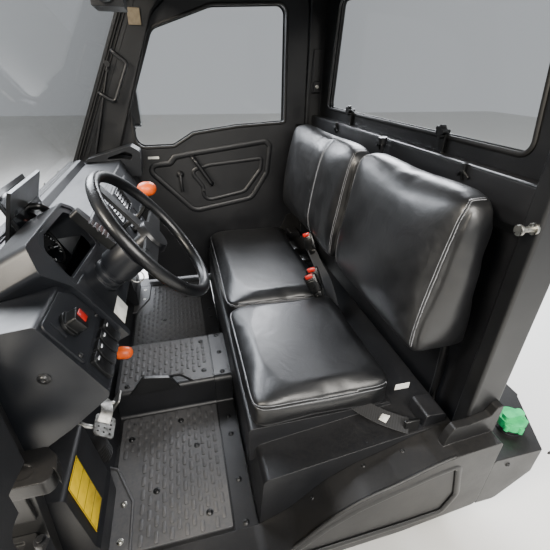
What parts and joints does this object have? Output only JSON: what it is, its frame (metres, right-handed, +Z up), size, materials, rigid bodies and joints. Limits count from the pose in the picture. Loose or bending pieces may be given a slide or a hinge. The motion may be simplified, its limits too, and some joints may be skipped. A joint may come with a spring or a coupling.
{
  "type": "side by side utility vehicle cab",
  "caption": "Cab of a side by side utility vehicle: floor, bench seat, dash, steering wheel, windscreen, rear window, roof and two hinged doors.",
  "frame": {"origin": "centre of the four cab mounting holes, on the underside of the floor frame", "axes": "+Z up, -Y to the front of the vehicle, +X to its left"},
  "size_m": [2.7438, 1.54, 1.6934],
  "materials": {
    "frame_steel": "satin black powder coat",
    "moulding": "grained charcoal moulding",
    "dash_moulding": "fine grained charcoal moulding",
    "body_panel": "satin dark body moulding",
    "mat_rubber": "matt rubber",
    "seat_vinyl": "grained black vinyl with sheen",
    "webbing": "woven belt webbing and black buckles",
    "clear_glass": "clear",
    "yellow_plate": "printed plate, blank",
    "green_cap": "bright green moulding",
    "orange_knob": "orange moulding on a black rod",
    "zinc_steel": "bright zinc",
    "drilled_steel": "drilled plate",
    "switch_black": "smooth black switch plastic",
    "gauge_black": "dark instrument lens",
    "wheel_foam": "moulded soft rim"
  },
  "bodies": {
    "cab": {"accelerator_pedal": "drilled_steel", "belt_buckles": "webbing", "belt_reels": "moulding", "brake_pedal": "drilled_steel", "column_switch": "switch_black", "cowl": "body_panel", "dash_body": "dash_moulding", "dash_tray": "dash_moulding", "display_holder": "switch_black", "driver_back": "seat_vinyl", "driver_cushion": "seat_vinyl", "filler_cap": "green_cap", "filler_neck": "moulding", "firewall": "moulding", "floor_frame": "frame_steel", "floor_mats": "mat_rubber", "floor_pan": "moulding", "front_pillars": "frame_steel", "front_wings": "body_panel", "gear_lever": "orange_knob", "grab_handles": "moulding", "hand_brake": "orange_knob", "ignition_key": "zinc_steel", "instrument_face": "gauge_black", "instrument_pod": "dash_moulding", "kick_panels": "moulding", "kick_plate": "yellow_plate", "light_switch": "switch_black", "passenger_back": "seat_vinyl", "passenger_cushion": "seat_vinyl", "pillar_hinges": "frame_steel", "rear_corners": "body_panel", "rear_pillars": "frame_steel", "rear_wall": "moulding", "rear_window": "clear_glass", "rear_window_frame": "frame_steel", "rocker_switches": "switch_black", "roof_panel": "body_panel", "roof_rails": "frame_steel", "screen_stays": "switch_black", "seat_base": "moulding", "seat_frame": "frame_steel", "side_panels": "body_panel", "steering_column": "dash_moulding", "strikers": "zinc_steel", "switch_plate": "dash_moulding", "threshold_strip": "moulding", "window_knobs": "switch_black", "windscreen": "clear_glass", "wiper_motor": "moulding"},
    "steering_wheel": {"steering_hub": "wheel_foam", "steering_rim": "wheel_foam"},
    "door_left_body": {"door_left": "dash_moulding", "door_left_glass": "clear_glass", "door_left_mirror": "moulding", "door_left_trim": "dash_moulding"},
    "door_right_body": {"door_right": "dash_moulding", "door_right_glass": "clear_glass", "door_right_mirror": "moulding", "door_right_trim": "dash_moulding"}
  },
  "joints": [
    {"name": "steering_turn", "type": "hinge", "parent": "cab", "child": "steering_wheel", "pos_m": [0.374, -0.2245, 0.917], "axis": [0, 0.7859, 0.6184], "range_deg": [-540, 540]},
    {"name": "door_left_hinge", "type": "hinge", "parent": "cab", "child": "door_left_body", "pos_m": [0.785, -0.485, 0.4], "axis": [0, 0, 1], "range_deg": [0, 95]},
    {"name": "door_right_hinge", "type": "hinge", "parent": "cab", "child": "door_right_body", "pos_m": [-0.785, -0.485, 0.4], "axis": [0, 0, 1], "range_deg": [0, 95]}
  ]
}
